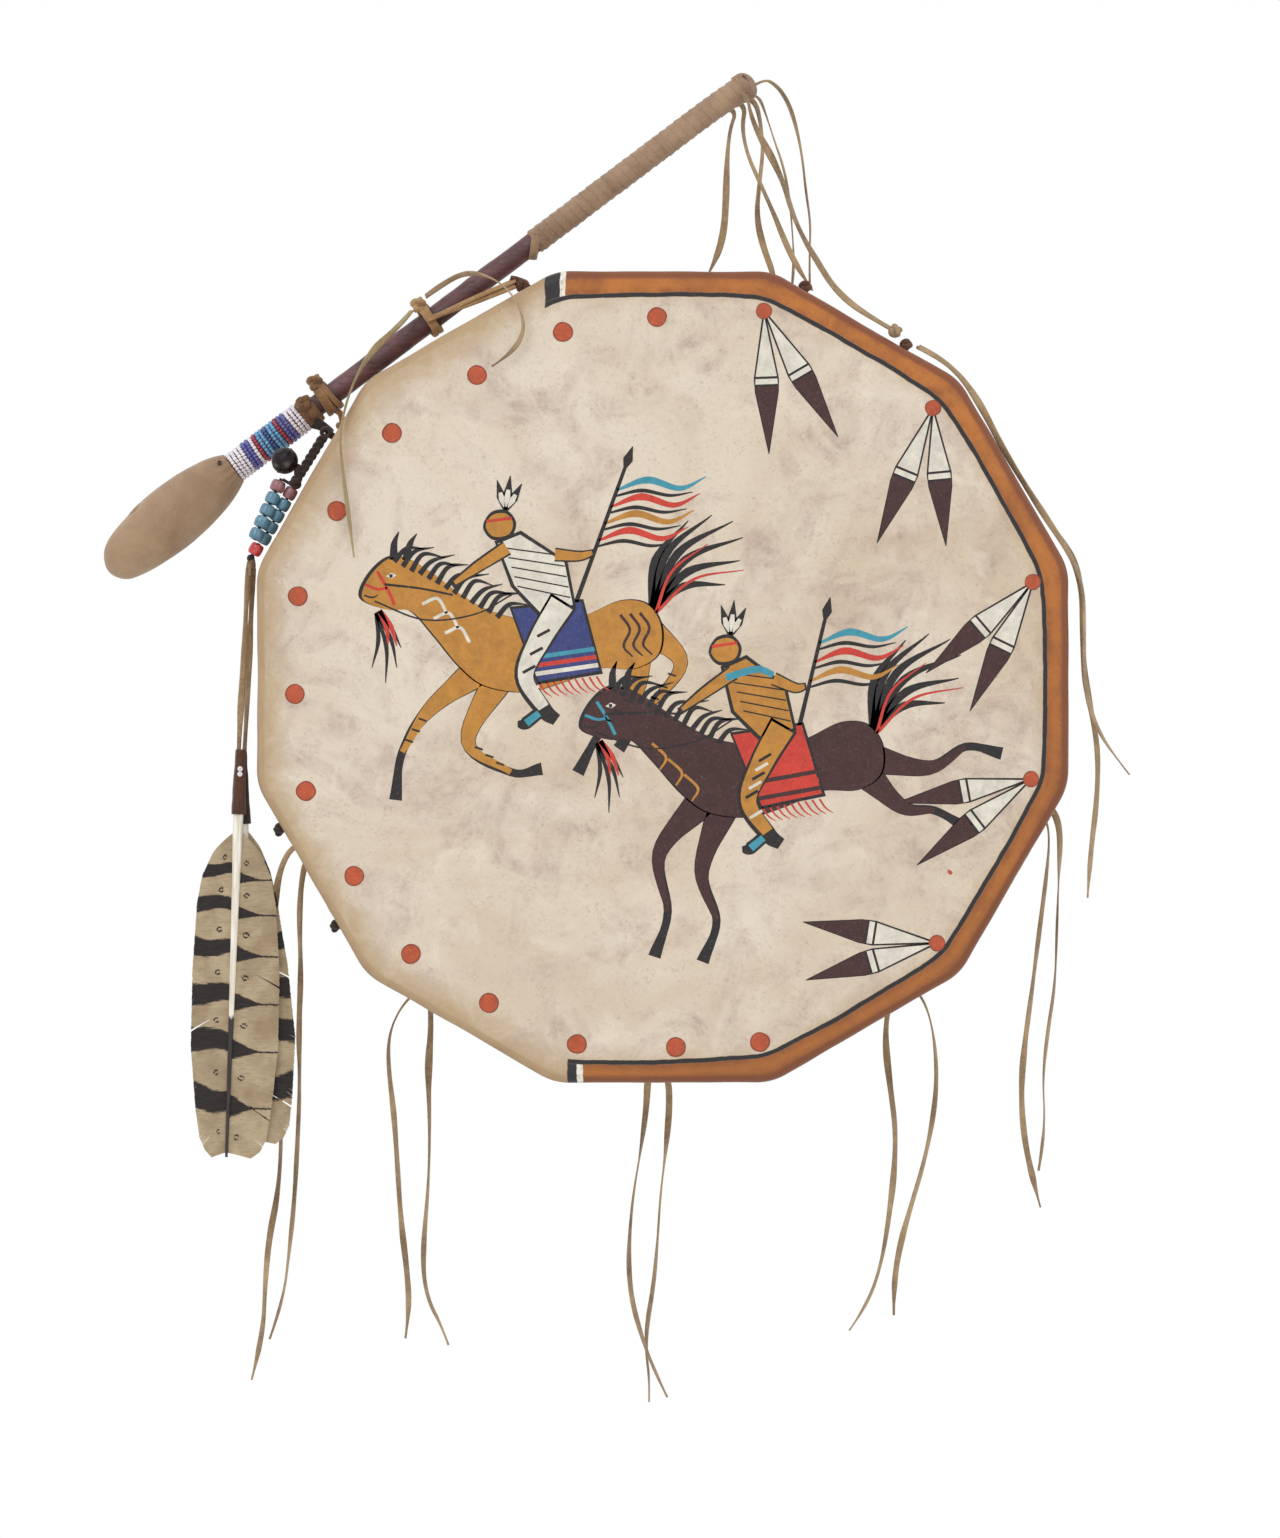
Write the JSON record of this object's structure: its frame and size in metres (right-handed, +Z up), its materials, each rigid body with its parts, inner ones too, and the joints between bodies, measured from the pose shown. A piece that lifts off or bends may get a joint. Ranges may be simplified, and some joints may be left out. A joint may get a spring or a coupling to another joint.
{
  "type": "frame drum",
  "caption": "Hand-held frame drum with a painted rawhide head, lacing and grip ring behind, hide fringe, a tied-on beater and a beaded feather pendant.",
  "frame": {"origin": "centre of the grip ring at the back of the drum, in the plane of the lacing", "axes": "+Z up, with the beater tied along the upper left; the playing face looks towards -Y; +X is to the right for somebody facing the playing face"},
  "size_m": [0.5242, 0.086, 0.6863],
  "materials": {
    "cedar": "oiled, straight grain",
    "rawhide": "translucent parchment, satin, painted on the front",
    "rawhide_lace": "dry rawhide, satin",
    "steel_ring": "plain",
    "buckskin": "suede",
    "buckskin_thong": "suede strip",
    "dark_leather": "worn",
    "dark_wood": "dark stain, satin",
    "padding": "packed wool",
    "suede": "soft suede",
    "seed_glass": "glossy seed beads in bands of white, blue and dark red",
    "dark_metal": "blackened, worn bright",
    "mauve_glass": "glossy opaque bead",
    "blue_glass": "glossy opaque bead",
    "red_glass": "glossy opaque bead",
    "brown_leather": "smooth",
    "quill": "horn-like, satin",
    "feather": "soft barbs with dark bars"
  },
  "bodies": {
    "drum": {"frame_stave_01": "cedar", "frame_stave_02": "cedar", "frame_stave_03": "cedar", "frame_stave_04": "cedar", "frame_stave_05": "cedar", "frame_stave_06": "cedar", "frame_stave_07": "cedar", "frame_stave_08": "cedar", "frame_stave_09": "cedar", "frame_stave_10": "cedar", "frame_stave_11": "cedar", "frame_stave_12": "cedar", "drumhead": "rawhide", "lacing": "rawhide_lace", "lace_turns": "rawhide_lace", "grip_ring": "steel_ring", "grip_wrap": "buckskin", "fringe_knots": "buckskin", "rim_knots": "dark_leather", "beater_tie_upper": "buckskin", "beater_tie_lower": "buckskin", "shoulder_thong_front": "buckskin_thong", "shoulder_thong_back": "buckskin_thong", "tie_tail_lower": "buckskin_thong", "tie_tail_upper": "buckskin_thong"},
    "beater": {"beater_stick": "dark_wood", "beater_core": "padding", "beater_cover": "suede", "bead_sleeve": "suede", "seed_beads": "seed_glass", "beater_neck_tie": "buckskin", "stick_wrap": "suede", "butt_thong_1": "buckskin_thong", "butt_thong_2": "buckskin_thong", "butt_thong_3": "buckskin_thong", "butt_thong_4": "buckskin_thong", "butt_thong_5": "buckskin_thong", "butt_thong_6": "buckskin_thong"},
    "pendant": {"pendant_braid": "dark_leather", "pendant_bell": "dark_metal", "bell_pellet": "dark_metal", "bead_strands": "dark_leather", "mauve_beads": "mauve_glass", "blue_beads": "blue_glass", "red_bead": "red_glass"},
    "hanger": {"hanger_thong_left": "buckskin_thong", "hanger_thong_right": "buckskin_thong"},
    "feathers": {"leather_sleeves": "brown_leather", "quills": "quill", "feather_vanes": "feather"},
    "fringe_1": {"fringe_1_left": "buckskin_thong", "fringe_1_right": "buckskin_thong"},
    "fringe_2": {"fringe_2_left": "buckskin_thong", "fringe_2_right": "buckskin_thong"},
    "fringe_3": {"fringe_3_left": "buckskin_thong", "fringe_3_right": "buckskin_thong"},
    "fringe_4": {"fringe_4_left": "buckskin_thong", "fringe_4_right": "buckskin_thong"},
    "fringe_5": {"fringe_5_left": "buckskin_thong", "fringe_5_right": "buckskin_thong"}
  },
  "joints": [
    {"name": "beater_draw", "type": "slide", "parent": "drum", "child": "beater", "axis": [-0.7992, 0, -0.6011], "range_m": [0, 0.282], "deforming": ["butt_thong_1", "butt_thong_2", "butt_thong_3", "butt_thong_4", "butt_thong_5", "butt_thong_6"]},
    {"name": "pendant_lift", "type": "hinge", "parent": "drum", "child": "pendant", "pos_m": [-0.1696, -0.05, 0.1232], "axis": [0, 1, 0], "range_deg": [0, 35]},
    {"name": "hanger_swing", "type": "hinge", "parent": "pendant", "child": "hanger", "pos_m": [-0.2069, -0.05, 0.0586], "axis": [0, 1, 0], "range_deg": [0, 45]},
    {"name": "feather_sway", "type": "hinge", "parent": "hanger", "child": "feathers", "pos_m": [-0.2124, -0.05, -0.0365], "axis": [1, 0, 0], "range_deg": [-30, 10]},
    {"name": "fringe_1_swing", "type": "hinge", "parent": "drum", "child": "fringe_1", "pos_m": [-0.178, 0.0036, -0.082], "axis": [0, 1, 0], "range_deg": [-30, 30]},
    {"name": "fringe_2_swing", "type": "hinge", "parent": "drum", "child": "fringe_2", "pos_m": [-0.121, 0.0036, -0.155], "axis": [0, 1, 0], "range_deg": [-30, 30]},
    {"name": "fringe_3_swing", "type": "hinge", "parent": "drum", "child": "fringe_3", "pos_m": [-0.003, 0.0036, -0.195], "axis": [0, 1, 0], "range_deg": [-30, 30]},
    {"name": "fringe_4_swing", "type": "hinge", "parent": "drum", "child": "fringe_4", "pos_m": [0.124, 0.0036, -0.1536], "axis": [0, 1, 0], "range_deg": [-30, 30]},
    {"name": "fringe_5_swing", "type": "hinge", "parent": "drum", "child": "fringe_5", "pos_m": [0.188, 0.0036, -0.0646], "axis": [0, 1, 0], "range_deg": [-30, 30]}
  ]
}
